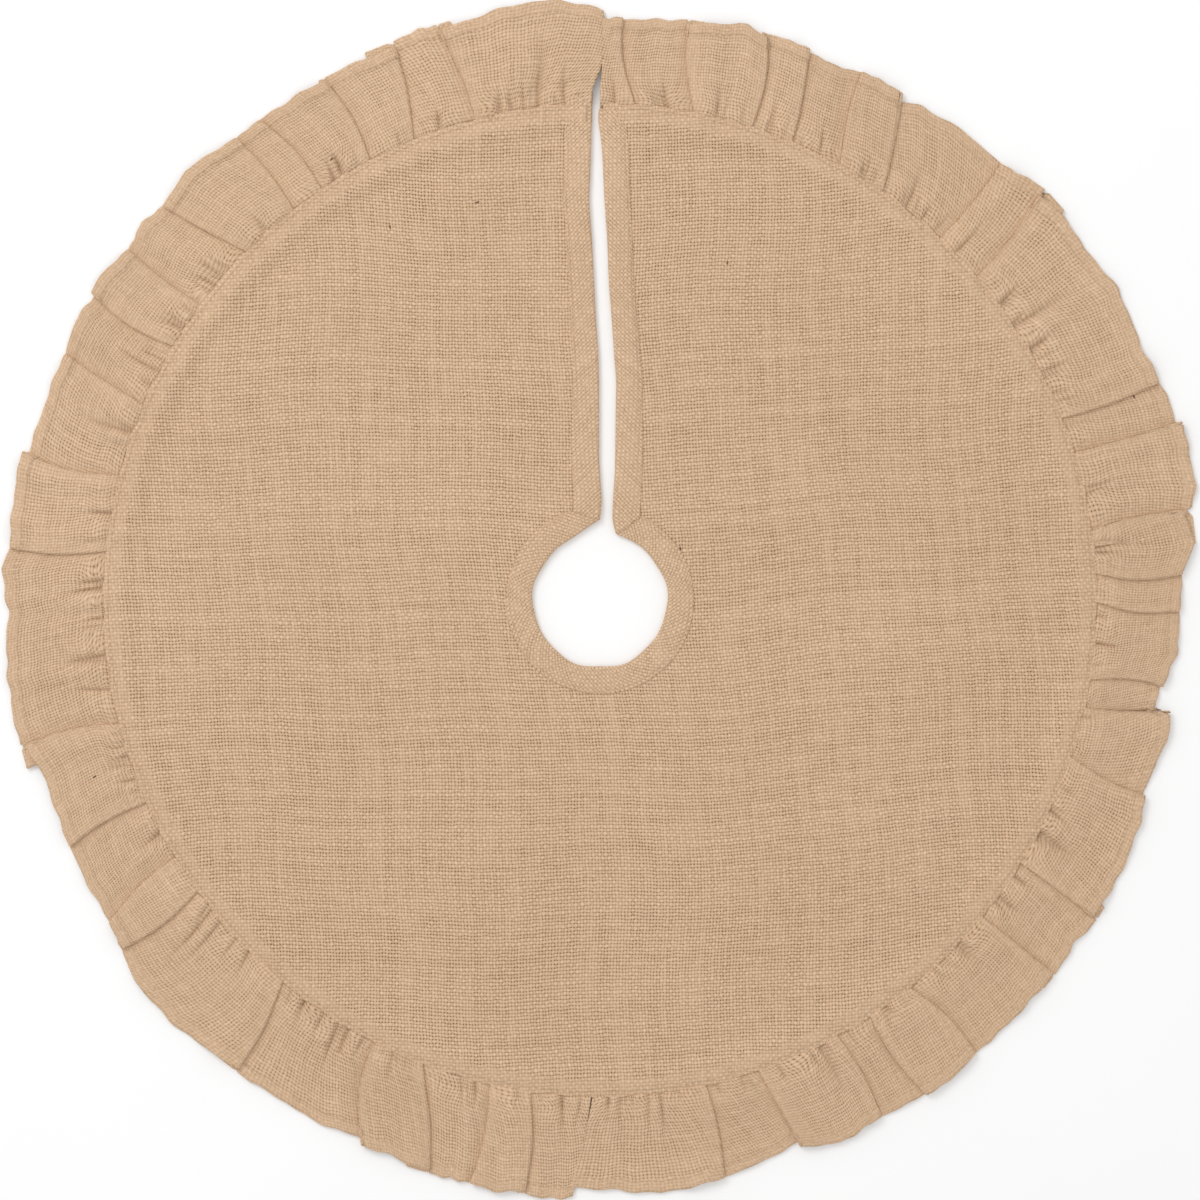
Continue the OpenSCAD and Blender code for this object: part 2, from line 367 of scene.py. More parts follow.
    # Painted shade in the holes: deep brown where nothing backs the cloth, the backing cloth in shade where packed
    holeShade = colourMix(tree, packed, weave["gapShadeColour"], weave["backedGapShadeColour"])
    tree.links.new(colourMix(tree, gap, thread, holeShade), shader.inputs["Base Color"])
    bump = tree.nodes.new("ShaderNodeBump")
    bump.inputs["Strength"].default_value = 0.7
    bump.inputs["Distance"].default_value = weave["bump"]
    tree.links.new(height, bump.inputs["Height"])
    tree.links.new(bump.outputs["Normal"], shader.inputs["Normal"])
    return material


def threadMaterial(name, colour, scale=1400.0):
    # Twisted thread: fine slanting bands, the darker ones painted shade between the plies, on the piece's own
    # place
    material, tree, shader = newMaterial(name, 0.7, 0.2, (1, 0.95, 0.85))
    place = tree.nodes.new("ShaderNodeTexCoord")
    twist = tree.nodes.new("ShaderNodeTexWave")
    twist.bands_direction = "DIAGONAL"
    twist.inputs["Scale"].default_value = scale
    twist.inputs["Distortion"].default_value = 2.0
    tree.links.new(place.outputs["Object"], twist.inputs["Vector"])
    # Painted shade between the plies: the darker bands
    dark = tuple(0.72 * part for part in colour)
    tree.links.new(colourMix(tree, twist.outputs["Fac"], dark, colour), shader.inputs["Base Color"])
    bump = tree.nodes.new("ShaderNodeBump")
    bump.inputs["Strength"].default_value = 0.5
    bump.inputs["Distance"].default_value = 0.0001
    tree.links.new(twist.outputs["Fac"], bump.inputs["Height"])
    tree.links.new(bump.outputs["Normal"], shader.inputs["Normal"])
    return material


panelBurlap = burlapMaterial("panelBurlap", 0.13, 0.25)
ruffleBurlap = burlapMaterial("ruffleBurlap", 0.20, 0.20, 0.27, 1.12)
bindingBurlap = burlapMaterial("bindingBurlap", 0.12, 0.32, 0.2, 1.15)
sewingThread = threadMaterial("sewingThread", (0.60, 0.42, 0.27))
overlockThread = threadMaterial("overlockThread", (0.66, 0.50, 0.34))
huskBrown = threadMaterial("huskBrown", (0.16, 0.088, 0.040), 700.0)
print("materials made")


slit = {
    # Where each edge lies: distance from the hole's centre, and how far right of the middle line
    "left": [(0, -0.8), (30, -0.8), (36, 0.0), (45, 0.9), (54, 0.1), (64, -0.4), (98, -0.4),
             (110, -0.7), (125, -1.8), (143, -2.7), (161, -3.6), (179, -4.9), (197, -4.1), (215, -3.7),
             (224, -3.2), (234, -2.2)],
    "right": [(0, 8.6), (24, 8.6), (30, 6.9), (36, 5.4), (45, 5.8), (58, 6.7), (84, 7.0), (98, 7.3),
              (107, 6.5), (125, 5.3), (143, 3.9), (161, 3.3), (179, 2.0), (197, 1.2), (206, 0.5),
              (215, -0.9), (224, -0.2), (234, 0.4)],
    "easing": 2.2,
    "leftTop": 226.5, "rightTop": 219.5,     # the bindings end here, over the seam
}


def easedCurve(stations, easing):
    # Straight lines between the stations, rounded off by a running average with bell weights
    where = np.arange(-20, 260, 0.5)
    plain = np.interp(where, *np.array(stations).T)
    weights = bell(np.arange(-20, 21) * 0.5, easing)
    padded = np.concatenate([np.full(20, plain[0]), plain, np.full(20, plain[-1])])
    return where, np.convolve(padded, weights / weights.sum(), "valid")


slitCurves = {-1: easedCurve(slit["left"], slit["easing"]), 1: easedCurve(slit["right"], slit["easing"])}


def slitEdge(side, y):
    # How far right of the middle line the slit's left (-1) or right (1) edge lies at height y
    return np.interp(y, *slitCurves[side])


panel = {
    "thickness": 0.72,
    "rest": 0.46,            # middle of the cloth above the surface where it lies flat
    "bindingLift": 0.94,
    "inset": 1.9,            # the cut edge stays this far behind the binding's fold
    "seamLift": 2.05,
    "liftStart": 206.5,
    "rows": 300,
    "waves": [(0.16, 93.0, 20.0, 0.1), (0.14, 61.0, 75.0, 0.4), (0.10, 38.0, 130.0, 0.7)],
    "lean": [(2.6, 330.0, 90.0, 0.05), (0.9, 140.0, 62.0, 0.3), (0.5, 74.0, 100.0, 0.6)],
    "sag": [(3.4, 380.0, 0.0, 0.2), (1.1, 150.0, 24.0, 0.1), (0.5, 81.0, -10.0, 0.5)],
}
seamRadius = skirt["seamRadius"]
allowanceRadius = skirt["headingRadius"] + 1.0


def panelHeight(x, y):
    # The cloth's middle: flat, a little uneven, raised where the bindings and the seam lie under it
    radius = np.hypot(x, y)
    angle = np.arctan2(y, x)
    offRing = np.maximum(radius - skirt["ringRadius"], 0)
    gapLeft = np.maximum(slitEdge(-1, y) - binding["drawnWidth"] - x, 0)
    gapRight = np.maximum(x - slitEdge(1, y) - binding["drawnWidth"], 0)
    offSlit = np.where(y > 0, np.where(x < 2, gapLeft, gapRight), 999)
    nearBinding = np.maximum(bell(offRing, 9.0), bell(offSlit, 9.0))
    nearSeam = smoothStep(panel["liftStart"], panel["liftStart"] + 8, radius)
    uneven = ripple(x, y, panel["waves"]) * (1 - nearSeam) * (1 - nearBinding)
    pucker = 0.16 * np.exp(-np.abs(seamRadius - 2 - radius) / 7) * np.sin(angle * 71 + 2 * np.sin(angle * 13))
    lift = np.maximum(panel["bindingLift"] * nearBinding, panel["seamLift"] * nearSeam)
    return panel["rest"] + np.maximum(uneven, -0.07) + 0.06 + lift + pucker


def panelWeave(x, y):
    # The weave's own place: the straight grain with the gentle lean and sag of laid cloth
    radius = np.hypot(x, y)
    backed = smoothStep(allowanceRadius - 0.6, allowanceRadius + 0.6, radius) * 0.7
    across = x + 0.055 * y + ripple(x, y, panel["lean"])
    up = y - 0.040 * x + ripple(x, y, panel["sag"])
    return np.stack([across, up, backed], -1)


# At the rear the two halves meet edge to edge. The left one has a row close to its edge, so that it
# stays flat up to it, and the right one's last row goes on a little under the left one.
meeting = {"past": 0.02, "close": 0.04, "under": 0.3, "drop": 0.03}


def withTuck(angle, side, radius):
    # Adds the row close to the left half's edge, or the right half's row past the middle line
    if side < 0:
        return np.concatenate([angle[:-1], angle[-1:] - meeting["close"] / radius[None], angle[-1:]])
    return np.concatenate([angle[:1] - meeting["under"] / radius[None], angle])


def tuckDrop(side, height):
    # Lowers the row that goes on under the left half
    if side > 0:
        height = height.copy()
        height[0] -= meeting["drop"]
    return height


def holeEdge(side, angle):
    # The hole's folded edge: a circle, which on the left goes straight on along its tangent to reach
    # the slit's neck
    base = skirt["holeRadius"]
    if side > 0:
        return np.full_like(angle, base)
    neck = binding["neckLeft"]
    tangent = math.acos(base / math.hypot(*neck)) + math.atan2(neck[1], neck[0])
    return base / np.cos(np.clip(tangent - angle, 0, 1.2))


def panelHalf(name, side):
    # Rings from under the hole's binding out to the seam, then the edge rolls over and turns in under.
    # Each ring runs from the slit's edge to the middle line at the rear.
    start, end = skirt["holeRadius"] + panel["inset"], seamRadius - 0.5
    radii = np.concatenate([np.linspace(start, 200, 64)[:-1], np.linspace(200, end, 22)])
    roll = np.array([(0.3, -0.05), (0.62, -0.24), (0.72, -0.46), (0.45, -0.66), (-0.4, -0.72),
                     (-2.5, -0.73), (-5.0, -0.74), (allowanceRadius - end, -0.74)])
    shown = np.concatenate([radii, end + roll[:, 0]])
    drop = np.concatenate([np.zeros(len(radii)), roll[:, 1]])
    edge = slitEdge(side, shown) + side * panel["inset"]
    slitAngle = np.arccos(np.clip(edge / shown, -1, 1))
    rearAngle = (1.5 * math.pi if side < 0 else -0.5 * math.pi) + meeting["past"] / shown
    share = np.linspace(0, 1, panel["rows"])[:, None]
    first, last = (slitAngle, rearAngle) if side < 0 else (rearAngle, slitAngle)
    angle = withTuck(first + (last - first) * share, side, shown)
    radius = np.broadcast_to(shown, angle.shape)
    pulled = ripple(angle * seamRadius, 0, [(0.35, 23.0, 0, 0.1), (0.25, 14.0, 0, 0.6)])
    cutBack = (holeEdge(side, angle) - skirt["holeRadius"]) * (1 - smoothStep(start - 10, 70, radius))
    radius = radius + pulled * smoothStep(end - 12, end, radius) + cutBack * 1.06
    x, y = radius * np.cos(angle), radius * np.sin(angle)
    heightRadius = np.minimum(radius, end)
    z = tuckDrop(side, panelHeight(heightRadius * np.cos(angle), heightRadius * np.sin(angle)) + drop)
    thickness = np.broadcast_to(panel["thickness"] - 0.2 * smoothStep(end - 3, end, np.minimum(shown, end))
                                - 0.12 * smoothStep(0, 0.5, -drop), angle.shape)
    rounding = (0, 0, 1, 1)
    return clothShell(name, np.stack([x, y, z], -1), thickness, panelWeave(x, y), rounding)


# A fold is: its direction at the seam and at the hem in degrees, the side that its upper layer lies
# on (-1 clockwise, 1 anticlockwise), its lap at the seam and at the hem in millimetres, and the hem's
# radius on its clockwise and anticlockwise side. Between folds the hem also swings out and in: bulges
# give a direction and the hem's radius there.
ruffle = {
    "thickness": 0.62, "headingThickness": 0.45, "hemThickness": 1.0,
    "hemStart": 0.895, "layerGap": 0.06,
    "sample": 1.0,           # millimetres between rows of points on a smooth face
    "loft": 0.35,
    "seamLift": 1.55,        # the cloth rises this far as it comes out from under the panel's edge
    "puff": 1.35,            # and stands up this much more between its gathers
    "smallGathers": 110,
    "waves": [(0.30, 47.0, 0.0, 0.2), (0.24, 29.0, 0.0, 0.6), (0.14, 17.0, 0.0, 0.9)],
}
rightStrip = {
    "start": (-90.8, -92.9, 262.4), "end": (89.95, 89.69, 260.0),
    "bulges": [
        (-88, 264), (-84, 266.4), (-74, 261.5), (-66, 265.2), (-58.5, 264), (-54, 265.4), (-46, 263),
        (-42, 262.6), (-36, 261.6), (-28, 263), (-22, 260.8), (-16, 259), (-14, 261.4), (-5, 259.2),
        (5.5, 267), (11, 271), (15, 271.4), (20, 269.6), (25, 267), (31, 270), (36, 267.4), (39, 269),
        (52, 265), (57, 263.4), (65.5, 261), (75.5, 265.2), (83.5, 261),
    ],
    "folds": [
        (-77.7, -77.9, -1, 5, 2.5, 264.2, 264.0), (-71.3, -69.8, 1, 7, 3, 257.6, 260.4),
        (-61.5, -61.5, -1, 4, 2, 262.8, 263.0), (-57.0, -56.5, 1, 6, 4, 264.2, 265.2),
        (-51.4, -50.4, -1, 7, 3, 263.1, 263.1), (-39.7, -39.6, -1, 7, 7, 262.0, 263.6),
        (-32.0, -32.7, 1, 6, 6, 264.1, 261.5), (-18.5, -19.8, -1, 4, 2, 259.0, 257.5),
        (-12.6, -11.1, -1, 4, 3, 259.6, 252.6), (-9.2, -8.7, 1, 5, 3, 253.2, 254.6),
        (-0.2, -1.0, 1, 5, 2, 259.0, 259.2), (3.1, 2.6, 1, 6, 2, 260.4, 260.6),
        (8.0, 8.7, -1, 7, 15, 263.2, 267.5), (17.2, 17.0, -1, 5, 2, 272.0, 269.0),
        (21.5, 21.3, 1, 4, 1.5, 268.0, 268.2), (40.6, 42.6, -1, 8, 12, 266.8, 270.9),
        (46.7, 47.3, -1, 5, 3, 264.8, 265.0), (55.4, 59.2, 1, 6, 3, 259.4, 263.8),
        (61.0, 63.5, -1, 6, 4, 263.6, 263.4), (67.3, 69.2, 1, 7, 3, 262.0, 263.7),
        (72.3, 73.4, 1, 5, 2.5, 264.1, 262.0), (79.0, 81.3, -1, 7, 7, 260.4, 262.5),
        (86.0, 87.8, 1, 3, 1.8, 259.6, 260.4),
    ],
    "gathers": [
        (-83, 1.0, 0.5), (-63.6, 1.4, 0.6), (-44, 1.0, 0.3), (-33.7, 1.2, 0.25), (-28.2, 1.5, 0.45),
        (-25, 1.0, 0.3), (-22, 0.8, 0.25), (-5, 0.8, 0.3), (6.5, 1.3, 0.5), (13, 0.9, 0.3),
        (26.5, 0.9, 0.25), (30.2, 1.0, 0.3), (33.5, 1.5, 0.6), (36.5, 0.9, 0.3), (44.4, 1.1, 0.4),
        (52.0, 1.2, 0.4), (63.7, 1.1, 0.35), (76.5, 1.2, 0.35), (82.1, 1.2, 0.35),
    ],
}
leftStrip = {
    "start": (91.0, 89.72, 263.4), "end": (268.9, 267.3, 267.4),
    "bulges": [
        (91.8, 266.6), (94, 268.9), (98, 268.8), (101.5, 266.6), (108, 267.4), (121, 263), (131, 264.6),
        (134, 266.3), (140.5, 265.2), (147, 266), (152, 265.6), (160, 263), (170, 266), (177, 267.8),
        (181, 264.4), (185, 266.3), (191.5, 267.4), (198, 260.2), (207.5, 261.6), (218, 267.6),
        (221, 268.9), (226, 268.6), (228.5, 266.4), (238.5, 264.6), (240.5, 265.8), (249, 265.2),
        (260, 268.2), (264.5, 268.6),
    ],
    "folds": [
        (104.5, 105.8, -1, 7, 5.5, 264.1, 267.4), (112.1, 110.4, 1, 7, 13, 266.2, 263.4),
        (117.7, 118.0, 1, 4, 2, 264.0, 262.5), (124.2, 125.4, 1, 5, 2, 263.0, 263.0),
        (128.2, 128.3, 1, 6, 2.5, 262.8, 263.0), (135.4, 137.9, -1, 5, 3, 263.0, 263.2),
        (143.7, 143.5, 1, 7, 2.5, 262.6, 263.0), (149.2, 148.8, -1, 5, 3, 265.7, 263.6),
        (156.9, 155.4, 1, 7, 3, 263.0, 263.2), (165.5, 165.6, 1, 8, 5, 263.5, 266.4),
        (174.3, 174.9, -1, 4, 1.5, 264.6, 264.8), (194.5, 194.2, 1, 8, 10, 267.0, 264.4),
        (204.0, 204.9, -1, 7, 3, 261.2, 261.4), (211.3, 213.4, 1, 7, 4, 262.3, 262.6),
        (215.8, 216.1, -1, 6, 3, 264.3, 264.5), (230.2, 232.3, -1, 7, 12, 264.8, 266.2),
        (243.1, 246.4, 1, 5, 3, 262.8, 266.0), (249.0, 253.3, -1, 8, 10, 266.0, 267.4),
        (257.2, 257.5, 1, 5, 2, 266.8, 267.0), (261.9, 262.7, -1, 6, 3, 266.2, 267.4),
    ],
    "gathers": [
        (94.0, 1.0, 0.4), (97.2, 1.5, 0.7), (98.8, 1.0, 0.3), (101.5, 0.8, 0.25), (108.5, 0.9, 0.3),
        (121.2, 1.0, 0.3), (132.0, 0.8, 0.3), (139.5, 1.0, 0.3), (147.0, 0.8, 0.3), (152.7, 1.1, 0.45),
        (160.3, 1.4, 0.6), (170.0, 0.9, 0.3), (178.5, 1.1, 0.4), (182.0, 0.8, 0.3), (186.4, 1.2, 0.45),
        (190.5, 1.0, 0.4), (199.5, 0.8, 0.3), (208.0, 0.9, 0.3), (218.6, 1.1, 0.7), (220.3, 1.0, 0.5),
        (225.0, 0.9, 0.25), (236.3, 1.0, 0.3), (238.3, 1.3, 0.5), (254.5, 0.8, 0.3), (265.5, 0.9, 0.35),
    ],
}


arcRadius = seamRadius + 22      # angles along the ruffle become lengths at this radius


def foldRows(side):
    # One fold as rows of: share of its lap, offset in layer steps, layer, rim side.
    # The cloth runs on one layer, turns half a circle, runs back, and turns half a circle again.
    swing = np.linspace(-90, 90, 5) * math.pi / 180
    run = np.linspace(0, 1, 6)[1:-1]
    zero, one = np.zeros(5), np.ones(5)
    if side < 0:
        parts = [(zero, -0.5 + 0.5 * np.cos(swing), 1.5 - 0.5 * np.sin(swing), zero),
                 (-run, -0.5 + run, 1 + 0 * run, run),
                 (-one, 0.5 - 0.5 * np.cos(swing), 0.5 - 0.5 * np.sin(swing), one),
                 (-1 + run, 0.5 - 0.5 * run, 0 * run, 1 + 0 * run)]
    else:
        parts = [(run, -0.5 * run, 0 * run, 0 * run),
                 (one, -0.5 + 0.5 * np.cos(swing), 0.5 + 0.5 * np.sin(swing), zero),
                 (1 - run, -0.5 + run, 1 + 0 * run, run),
                 (zero, 0.5 - 0.5 * np.cos(swing), 1.5 + 0.5 * np.sin(swing), one)]
    lap, offset, layer, rim = (np.concatenate(column) for column in zip(*parts))
    return lap, offset, layer, rim


def stripGathers(strip, seed):
    # The gathers named above and many small ones between them: place in degrees, depth, reach
    draw = np.random.default_rng(randomSeed + seed)
    count = ruffle["smallGathers"]
    small = np.stack([draw.uniform(strip["start"][0] + 1, strip["end"][0] - 1, count),
                      draw.uniform(0.35, 0.95, count), draw.uniform(0.10, 0.34, count)], -1)
    return np.concatenate([np.array(strip["gathers"]), small])


def facePlaces(first, last, length, gathers):
    # Where the rows lie between two folds, as shares: closer together at the gathers
    fine = np.linspace(0, 1, 400)
    place = first + (last - first) * fine
    near = np.zeros(400)
    for where, depth, _ in gathers:
        near = np.maximum(near, bell((place - where) * math.radians(seamRadius), 2.2) * min(depth, 1.2))
    density = (1 + 1.6 * near) * length / ruffle["sample"]
    running = np.concatenate([[0], np.cumsum((density[1:] + density[:-1]) / 2) / 399])
    count = max(int(running[-1]), 6)
    return np.interp(np.linspace(0, running[-1], count + 1), running, fine)


def stripRows(strip, gathers):
    # Every row of the strip in order. A row lies between two folds a and b, at share f from a to b.
    folds = strip["folds"]
    seams = [strip["start"][0]] + [fold[0] for fold in folds] + [strip["end"][0]]
    sides = [0] + [fold[2] for fold in folds] + [0]
    rows = {key: [] for key in ("a", "b", "f", "lap", "offset", "layer", "rim", "face", "fromStart", "toEnd")}

    def add(a, b, f, lap, offset, layer, rim, face, fromStart, toEnd):
        for key, value in zip(rows, (a, b, f, lap, offset, layer, rim, face, fromStart, toEnd)):
            rows[key].append(np.broadcast_to(np.asarray(value, float), np.shape(f)))

    for k in range(len(seams) - 1):
        length = math.radians(seams[k + 1] - seams[k]) * arcRadius
        f = facePlaces(seams[k], seams[k + 1], length, gathers)
        startLayer = 2 if sides[k] > 0 else 0
        endLayer = 2 if sides[k + 1] < 0 else 0
        reach = min(13.0, length / 2.2)
        fromStart, toEnd = f * length, (1 - f) * length
        layer = startLayer * bell(fromStart, reach) + endLayer * bell(toEnd, reach)
        startOffset = 0.5 if sides[k] > 0 else 0
        endOffset = -0.5 if sides[k + 1] < 0 else 0
        offset = startOffset * (1 - f) + endOffset * f
        add(k, k + 1, f, 0, offset, layer, f, 1, fromStart if k else 99, toEnd if k < len(folds) else 99)
        if k < len(folds):
            lap, offset, layer, rim = foldRows(folds[k][2])
            add(k + 1, k + 1, 0 * lap, lap, offset, layer, rim, 0, 0, 0)
    return {key: np.concatenate(value) for key, value in rows.items()}


def makeStrip(strip, seed):
    # The ruffle's middle surface: rows along the strip, columns from the heading to the hem
    across = np.concatenate([[-0.17, -0.07, -0.04, -0.015], np.linspace(0.008, 0.3, 11)[:-1],
                             np.linspace(0.3, 0.87, 9)[:-1], np.linspace(0.87, 1, 6)])
    gathers = stripGathers(strip, seed)
    rows = stripRows(strip, gathers)
    draw = np.random.default_rng(randomSeed + 10 + seed)
    t = across[None]
    out = np.clip(t, 0, 1)
    ends = [strip["start"], strip["end"]]
    seamAngle = np.array([ends[0][0]] + [fold[0] for fold in strip["folds"]] + [ends[1][0]])
    hemAngle = np.array([ends[0][1]] + [fold[1] for fold in strip["folds"]] + [ends[1][1]])
    lapSeam = np.array([0] + [fold[3] for fold in strip["folds"]] + [0])
    lapHem = np.array([0] + [fold[4] for fold in strip["folds"]] + [0])
    rimLow = np.array([ends[0][2]] + [fold[5] for fold in strip["folds"]] + [ends[1][2]])
    rimHigh = np.array([ends[0][2]] + [fold[6] for fold in strip["folds"]] + [ends[1][2]])
    a, b, f = rows["a"].astype(int), rows["b"].astype(int), rows["f"][:, None]
    last = len(seamAngle) - 1
    bend = 0.8 * draw.uniform(-1, 1, len(seamAngle))       # folds are slightly bowed, not straight
    bend[[0, last]] = 0

    def direction(k):
        # Straight from the seam to the hem, with a slight bow; the slit's ends swing out at once
        atSlit = ((k == 0) if strip["start"][0] > 0 else (k == last))[:, None]
        ease = np.where(atSlit, smoothStep(0.08, 0.5, out), out ** 1.15)
        bowed = bend[k][:, None] * np.sin(out * math.pi)
        return seamAngle[k][:, None] * (1 - ease) + hemAngle[k][:, None] * ease + bowed

    face, onFold = rows["face"][:, None], 1 - rows["face"][:, None]
    outline = [(hemAngle[k] + 0.001, rimHigh[k]) for k in range(last)]
    outline += [(hemAngle[k] - 0.001, rimLow[k]) for k in range(1, last + 1)] + strip["bulges"]
    rimFace = np.interp(hemAngle[a] * (1 - rows["f"]) + hemAngle[b] * rows["f"], *np.array(sorted(outline)).T)
    rimFold = rimLow[a] * (1 - rows["rim"]) + rimHigh[a] * rows["rim"]
    rim = np.where(rows["face"] > 0, rimFace, rimFold)
    arc = np.radians(seamAngle[a] * (1 - rows["f"]) + seamAngle[b] * rows["f"]) * arcRadius
    calm = (1 - bell(rows["fromStart"], 5.0)) * (1 - bell(rows["toEnd"], 5.0)) * rows["face"]
    rim = rim + ripple(arc, 0, [(0.35, 17.0, 0, seed * 0.3), (0.25, 11.0, 0, seed * 0.7)]) * calm
    base = seamRadius - 0.2
    radius = np.where(t < 0, base + t / 0.17 * (base - skirt["headingRadius"] - 0.4),
                      base + (rim[:, None] - base) * out)
    thickness = (ruffle["headingThickness"]
                 + (ruffle["thickness"] - ruffle["headingThickness"]) * smoothStep(0.0, 0.12, t)
                 + (ruffle["hemThickness"] - ruffle["thickness"])
                 * smoothStep(ruffle["hemStart"] - 0.008, ruffle["hemStart"] + 0.008, t))
    thickness = np.broadcast_to(thickness, radius.shape)
    layerStep = thickness[:1] + ruffle["layerGap"]
    lap = rows["lap"][:, None] * (lapSeam[a][:, None] * (1 - out) + lapHem[a][:, None] * out)
    angle = np.radians(direction(a) * (1 - f) + direction(b) * f)
    angle = angle + (lap + rows["offset"][:, None] * layerStep) / radius
    lofted = smoothStep(0.02, 0.4, t) * (1 - smoothStep(0.75, 1, t)) * face
    rest = thickness / 2 + 0.05 + ruffle["loft"] * lofted
    loosened = 1 + 0.25 * smoothStep(0.05, 0.4, t) * (1 - smoothStep(0.8, 1, t))
    z = rest + rows["layer"][:, None] * layerStep * loosened
    place = np.degrees(arc) / arcRadius

    # Beside the seam the cloth puffs up, and each gather is a sharp dip back down that fades outwards
    puff = ruffle["puff"] * smoothStep(-0.045, 0.035, t) * (1 - 0.7 * smoothStep(0.12, 0.8, t))
    lift = ruffle["seamLift"] * smoothStep(-0.045, 0.03, t) * (1 - smoothStep(0.06, 0.6, t))
    sharp = 0.45 + 0.55 * smoothStep(0.0, 0.06, t)
    dip, pull, swallowed = np.zeros_like(z), np.zeros_like(z), np.zeros_like(z)
    for where, depth, reach in gathers:
        width = 0.75 + 0.5 * depth
        slide = np.radians(place - where)[:, None] * radius + 5.0 * math.sin(where * 7) * out
        fade = 1 - smoothStep(reach * 0.3, reach * 1.25, out)
        dip += depth * 1.9 * fade * sharp * np.exp(-(np.abs(slide) / width) ** 1.25)
        pull += depth * fade * np.exp(-np.abs(slide) / 4.0)
        swallowed += depth * 1.7 * fade * np.tanh(slide / (1.2 * width)) * bell(slide, 16)
    rise = puff * (1 + 0.25 * ripple(arc, 0, [(1, 19.0, 0, 0.1), (0.7, 11.3, 0, 0.4)]))[:, None] - dip
    rise = np.maximum(rise, -0.6 * lift - 0.2 * puff)
    swell = ripple(arc[:, None] + 6 * out, 0 * out, ruffle["waves"]) * (0.35 + 0.65 * out) + 0.35 * out
    edgeCalm = calm[:, None]
    z = z + lift + (rise + np.maximum(swell, -0.25) * smoothStep(0.0, 0.2, t)) * edgeCalm
    ceiling = skirt["highest"] - thickness / 2 - 0.05
    z = np.where(z > ceiling - 0.8, ceiling - 0.8 + 0.8 * np.tanh((z - ceiling + 0.8) / 0.8), z)
    z = np.maximum(z, thickness / 2 + 0.02)
    middle = np.stack([radius * np.cos(angle), radius * np.sin(angle), z], -1)

    # The weave follows the cloth's own length, so threads crowd and fan out at the gathers
    steps = np.linalg.norm(np.diff(middle, axis=0), axis=2)
    run = np.concatenate([np.zeros((1, len(across))), np.cumsum(steps, axis=0)])
    reference = run[:, 16]
    apart = run - reference[:, None]
    even = np.arange(0, reference[-1], 2.0)
    slow = np.stack([np.convolve(np.pad(np.interp(even, reference, apart[:, k]), 20, "edge"),
                                 np.full(41, 1 / 41), "valid") for k in range(len(across))], -1)
    slow = np.stack([np.interp(reference, even, slow[:, k]) for k in range(len(across))], -1)
    width = rim.mean() - seamRadius
    hidden = onFold * (rows["layer"][:, None] < 1.6)
    doubled = np.maximum(smoothStep(ruffle["hemStart"] - 0.01, ruffle["hemStart"] + 0.01, t), t < 0)
    nearFold = np.maximum(bell(rows["fromStart"], 4.0), bell(rows["toEnd"], 4.0)) * rows["face"]
    backed = np.clip(np.maximum(doubled, np.maximum(hidden, 0.7 * nearFold[:, None])), 0, 1)
    lean = 0.26 * np.sin(reference / 60 + 1.7 * seed) + 0.12 * np.sin(reference / 29 + seed)
    alongStrip = reference[:, None] + apart - slow + swallowed
    weaveMap = np.stack([alongStrip + lean[:, None] * t * width,
                         t * width + 2.2 * np.sin(reference[:, None] / 23) + 1.1 * pull,
                         np.broadcast_to(backed, z.shape)], -1)
    return {"middle": middle, "thickness": thickness, "weaveMap": weaveMap, "across": across,
            "length": reference[-1]}


def stripNormals(strip):
    # The cross product of the two directions along the grid
    along = unit(np.gradient(strip["middle"], axis=0))
    across = unit(np.gradient(strip["middle"], axis=1))
    return unit(np.cross(across, along))


binding = {
    "width": skirt["ringRadius"] - skirt["holeRadius"],
    "drawnWidth": 11.5,      # the width that the section's own numbers are for
    "runRadius": 36.0,       # angles round the ring become lengths at this radius
    "thickness": 0.85,
    "topLayer": 2.36, "bottomLayer": 0.46,
    "neckLeft": (0.0, 35.8), "cornerLeft": (-11.7, 40.6),      # the mitre where the slit meets the hole
    "neckRight": (7.0, 29.7), "cornerRight": (18.0, 37.6),
}


def bindingSection():
    # The folded strip's middle line, from its upper edge over the fold to its lower edge, as the
    # distance from the folded edge (0 to 1 of the width), the height, and the length along the cloth
    width = binding["width"]
    drawn = binding["drawnWidth"]
    upper = np.array([11.5, 11.0, 10.5, 10.0, 9.3, 8.0, 6.5, 5.0, 3.5, 2.2, 1.4]) / drawn * width
    puff = np.array([-0.42, -0.36, -0.34, -0.22, 0, 0.12, 0.2, 0.2, 0.16, 0.08, 0])
    turn = np.radians([120, 150, 180, 210, 240])
    middle = (binding["topLayer"] + binding["bottomLayer"]) / 2
    radius = (binding["topLayer"] - binding["bottomLayer"]) / 2
    lower = np.array([1.4, 3.5, 6.0, 8.5, 11.0]) / drawn * width
    inward = np.concatenate([upper, 1.4 + radius * np.cos(turn), lower])
    height = np.concatenate([binding["topLayer"] + puff, middle + radius * np.sin(turn),
                             np.full(len(lower), binding["bottomLayer"])])
    length = np.concatenate([[0], np.cumsum(np.hypot(np.diff(inward), np.diff(height)))])
    return inward / width, height, length


def biasMap(run, length, turned):
    # Cloth cut on the bias: the weave lies at 45 degrees to the strip
    root = math.sqrt(0.5)
    return np.stack([(run + turned * length) * root, (run - turned * length) * root,
                     np.full_like(run * length, 0.3)], -1)


def flatSize(middle, length):
    # The strip before it was folded, in metres: its mean length and its width along the section
    runs = np.linalg.norm(np.diff(middle, axis=0), axis=2).sum(axis=0)
    return round(float(runs.mean()) * mm, 3), round(float(length[-1]) * mm, 3)


